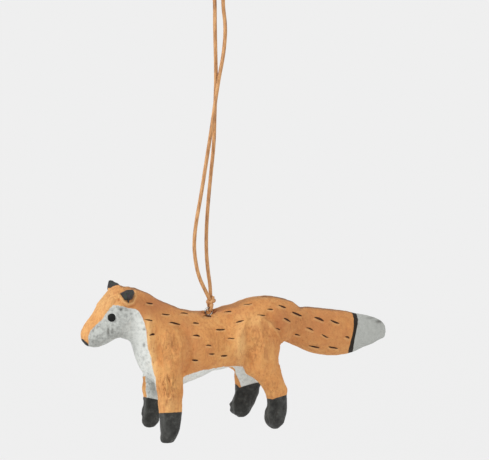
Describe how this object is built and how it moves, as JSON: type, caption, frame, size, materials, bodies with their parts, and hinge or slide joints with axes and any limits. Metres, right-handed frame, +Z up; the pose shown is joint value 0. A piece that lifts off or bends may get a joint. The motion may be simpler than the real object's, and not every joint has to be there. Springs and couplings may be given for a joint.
{
  "type": "hanging fox ornament",
  "caption": "Hand-moulded papier-mache fox that hangs by a screw eye in its back from a knotted loop of thin waxed cord.",
  "frame": {"origin": "inside of the cord loop's top bend, where the peg, hook or twig that holds the ornament up carries it", "axes": "-X towards the fox's nose and +X towards its tail tip, -Y out of its left flank, +Z up along the hanging cord"},
  "size_m": [0.1331, 0.0297, 0.1801],
  "materials": {
    "painted_pulp": "matt paint, hand-brushed",
    "charcoal_pulp": "matt charcoal paint",
    "black_paint": "satin black paint",
    "paper_core": "crumpled newsprint",
    "armature_wire": "annealed wire",
    "screw_eye": "dulled steel",
    "cord": "waxed, twisted"
  },
  "bodies": {
    "cord": {"cord_loop": "cord"},
    "knot": {"cord_knot": "cord"},
    "bight": {"cord_bight": "cord"},
    "fox": {"torso": "painted_pulp", "head": "painted_pulp", "tail": "painted_pulp", "front_leg_left": "painted_pulp", "front_leg_right": "painted_pulp", "hind_leg_left": "painted_pulp", "hind_leg_right": "painted_pulp", "ear_left": "charcoal_pulp", "ear_right": "charcoal_pulp", "eye_left": "black_paint", "eye_right": "black_paint", "body_core": "paper_core", "tail_core": "paper_core", "spine_wire": "armature_wire", "front_leg_wire": "armature_wire", "hind_leg_wire": "armature_wire", "screw_eye": "screw_eye"}
  },
  "joints": [
    {"name": "cord_turn", "type": "hinge", "parent": "cord", "child": "knot", "pos_m": [0, 0, -0.1265], "axis": [0, 0, 1], "range_deg": [-180, 180], "deforming": ["cord_loop"]},
    {"name": "side_swing", "type": "hinge", "parent": "knot", "child": "bight", "pos_m": [0, 0, -0.12945], "axis": [1, 0, 0], "range_deg": [-30, 30], "deforming": ["cord_bight"]},
    {"name": "fore_aft_swing", "type": "hinge", "parent": "bight", "child": "fox", "pos_m": [0, 0, -0.131], "axis": [0, 1, 0], "range_deg": [-40, 40]}
  ]
}
